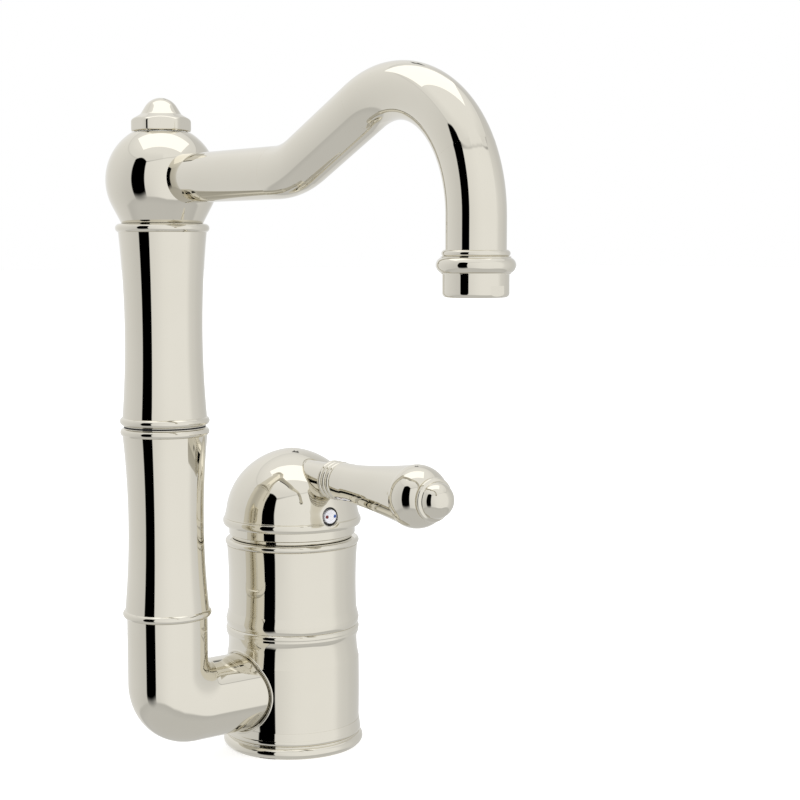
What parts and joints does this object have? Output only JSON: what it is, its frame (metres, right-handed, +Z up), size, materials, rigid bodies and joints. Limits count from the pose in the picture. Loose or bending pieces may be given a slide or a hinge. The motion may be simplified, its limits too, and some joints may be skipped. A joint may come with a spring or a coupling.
{
  "type": "gooseneck bar faucet",
  "caption": "Gooseneck bar faucet: a bead-ringed side column with a swivelling spout, joined by an elbow to a drum with a domed single-lever mixing handle.",
  "frame": {"origin": "centre of the drum's underside, on the deck", "axes": "+Z up; -Y is the front, where spout and lever point; -X is towards the column"},
  "size_m": [0.0982, 0.2015, 0.2353],
  "materials": {
    "nickel": "mirror-polished nickel plate on brass",
    "brass": "as turned",
    "steel": "machined stainless steel",
    "rubber": "matt black rubber",
    "ceramic": "lapped ceramic, stood in for by gloss plastic",
    "white_plastic": "low-friction plastic",
    "black_plastic": "moulded plastic",
    "dark_plastic": "moulded plastic",
    "index_white": "glossy white plastic with a red and a blue dot"
  },
  "bodies": {
    "faucet_body": {"base_ring": "nickel", "base_gasket": "rubber", "mixer_body": "nickel", "cartridge_seals": "rubber", "cartridge_base": "black_plastic", "fixed_disc": "ceramic", "cartridge_housing": "black_plastic", "bonnet_ring": "nickel", "elbow": "nickel", "column_lower": "nickel", "column_nipple": "brass", "column_washer": "rubber", "column_upper": "nickel", "swivel_post": "brass", "post_o_rings": "rubber", "glide_washer": "white_plastic", "finial_washer": "white_plastic", "finial_nut": "nickel"},
    "spout": {"swivel_ball": "nickel", "spout_tube": "nickel", "outlet_collar": "nickel", "aerator_washer": "rubber", "aerator_insert": "dark_plastic", "aerator_housing": "nickel"},
    "rotor": {"cartridge_rotor": "white_plastic", "stem_pin": "steel"},
    "disc": {"moving_disc": "ceramic"},
    "lever": {"cartridge_stem": "steel", "handle_dome": "nickel", "set_screw": "steel", "index_button": "index_white", "lever_rod": "nickel", "lever_ferrule": "nickel", "lever_handle": "nickel", "lever_knob": "nickel"}
  },
  "joints": [
    {"name": "spout_swivel", "type": "hinge", "parent": "faucet_body", "child": "spout", "pos_m": [-0.0532, 0, 0.2], "axis": [0, 0, 1], "continuous": true},
    {"name": "handle_turn", "type": "hinge", "parent": "faucet_body", "child": "rotor", "pos_m": [0, 0, 0.066], "axis": [0, 0, 1], "range_deg": [-45, 45]},
    {"name": "handle_lift", "type": "hinge", "parent": "rotor", "child": "lever", "pos_m": [0, 0, 0.07], "axis": [-1, 0, 0], "range_deg": [0, 20]},
    {"name": "disc_slide", "type": "slide", "parent": "rotor", "child": "disc", "axis": [0, -1, 0], "range_m": [0, 0.0048]}
  ],
  "couplings": [
    {"joint": "disc_slide", "follows": "handle_lift", "m_per_rad": 0.0127}
  ]
}
